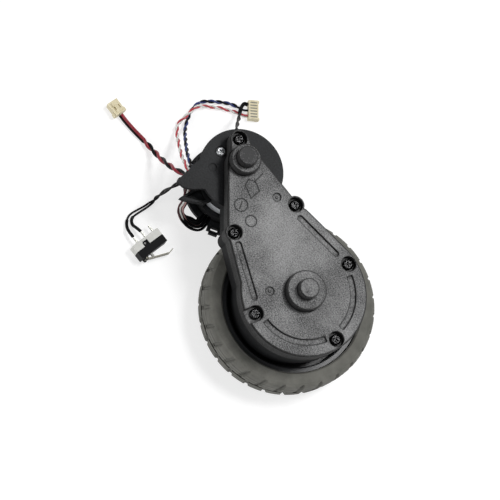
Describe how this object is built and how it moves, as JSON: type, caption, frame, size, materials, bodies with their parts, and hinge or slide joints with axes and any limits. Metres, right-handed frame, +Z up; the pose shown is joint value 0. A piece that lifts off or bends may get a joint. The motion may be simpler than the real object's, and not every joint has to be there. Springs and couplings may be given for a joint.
{
  "type": "robot vacuum wheel module",
  "caption": "Driven wheel module of a robot vacuum: offset gearbox with motor drum, rubber tyre, drop switch and leads with connectors.",
  "frame": {"origin": "wheel axis at the wheel's outer face, on the surface that the module rests on", "axes": "+Z up the wheel axis to the gearbox cover, +X from the wheel axis to the pivot pin"},
  "size_m": [0.1409, 0.082, 0.042],
  "materials": {
    "base_plastic": "fine moulded texture",
    "cover_plastic": "fine moulded texture",
    "black_screw": "blackened",
    "plated_screw": "zinc plated",
    "steel_pin": "ground",
    "bronze": "sintered bronze",
    "seal": "matte",
    "motor_steel": "drawn and plated",
    "magnet": "ferrite",
    "end_cap": "moulded",
    "contact_brass": "stamped",
    "board": "solder mask",
    "chip": "moulded",
    "winding": "wound copper on steel",
    "acetal": "moulded acetal",
    "rim_plastic": "moulded",
    "tyre": "matte moulded rubber",
    "switch_black": "moulded",
    "switch_white": "moulded",
    "tinned": "tinned",
    "connector": "natural nylon",
    "wire_red": "wire sleeve",
    "wire_navy": "wire sleeve",
    "wire_rose": "wire sleeve",
    "wire_black": "wire sleeve",
    "wire_mixed": "wire sleeves"
  },
  "bodies": {
    "gearbox": {"gearbox_base": "base_plastic", "gearbox_cover": "cover_plastic", "cover_screws": "black_screw", "motor_screws": "plated_screw", "gear_pins": "steel_pin", "lower_bush": "bronze", "upper_bush": "bronze", "motor_bushes": "bronze", "dust_seal": "seal", "motor_can": "motor_steel", "motor_magnets": "magnet", "motor_end_cap": "end_cap", "brush_terminals": "contact_brass", "encoder_board": "board", "hall_sensor": "chip", "switch_cover": "switch_black", "switch_base": "switch_white", "switch_terminals": "tinned", "motor_connector": "connector", "sensor_connector": "connector", "motor_contacts": "contact_brass", "sensor_contacts": "contact_brass", "motor_lead": "wire_red", "sensor_lead_dark": "wire_navy", "sensor_lead_red": "wire_rose", "connector_lead": "wire_black", "switch_wire_a": "wire_black", "switch_wire_b": "wire_black", "harness_loop": "wire_mixed", "channel_wire": "wire_black"},
    "wheel": {"output_gear": "acetal", "drive_shaft": "steel_pin", "wheel_rim": "rim_plastic", "tyre": "tyre", "wheel_screw": "plated_screw", "hub_cap": "rim_plastic"},
    "rotor": {"motor_shaft": "steel_pin", "armature": "winding", "commutator": "winding", "motor_pinion": "contact_brass", "encoder_magnet": "magnet"},
    "gear_1": {"compound_gear_1": "acetal"},
    "gear_2": {"compound_gear_2": "acetal"},
    "gear_3": {"compound_gear_3": "acetal"},
    "switch_lever": {"switch_lever": "tinned"},
    "switch_button": {"switch_button": "switch_white"}
  },
  "joints": [
    {"name": "wheel_spin", "type": "hinge", "parent": "gearbox", "child": "wheel", "pos_m": [0, 0, 0.0105], "axis": [0, 0, 1], "continuous": true},
    {"name": "gear_3_spin", "type": "hinge", "parent": "gearbox", "child": "gear_3", "pos_m": [0.02025, 0.00859, 0.025], "axis": [0, 0, 1], "continuous": true},
    {"name": "gear_2_spin", "type": "hinge", "parent": "gearbox", "child": "gear_2", "pos_m": [0.02906, 0.00119, 0.028], "axis": [0, 0, 1], "continuous": true},
    {"name": "gear_1_spin", "type": "hinge", "parent": "gearbox", "child": "gear_1", "pos_m": [0.04256, 0.00119, 0.03], "axis": [0, 0, 1], "continuous": true},
    {"name": "rotor_spin", "type": "hinge", "parent": "gearbox", "child": "rotor", "pos_m": [0.0545, 0, 0.018], "axis": [0, 0, 1], "continuous": true},
    {"name": "lever_press", "type": "hinge", "parent": "gearbox", "child": "switch_lever", "pos_m": [0.03959, 0.04345, 0.0029], "axis": [0, 0, 1], "range_deg": [0, 10], "stiffness_Nm_per_rad": 0.02},
    {"name": "button_press", "type": "slide", "parent": "gearbox", "child": "switch_button", "axis": [0.9659, 0.2588, 0], "range_m": [0, 0.0006]}
  ],
  "couplings": [
    {"joint": "gear_3_spin", "follows": "wheel_spin", "ratio": -3.5833},
    {"joint": "gear_2_spin", "follows": "wheel_spin", "ratio": 8.1905},
    {"joint": "gear_1_spin", "follows": "wheel_spin", "ratio": -23.401},
    {"joint": "rotor_spin", "follows": "wheel_spin", "ratio": 56.832},
    {"joint": "button_press", "follows": "lever_press", "m_per_rad": 0.00282}
  ]
}
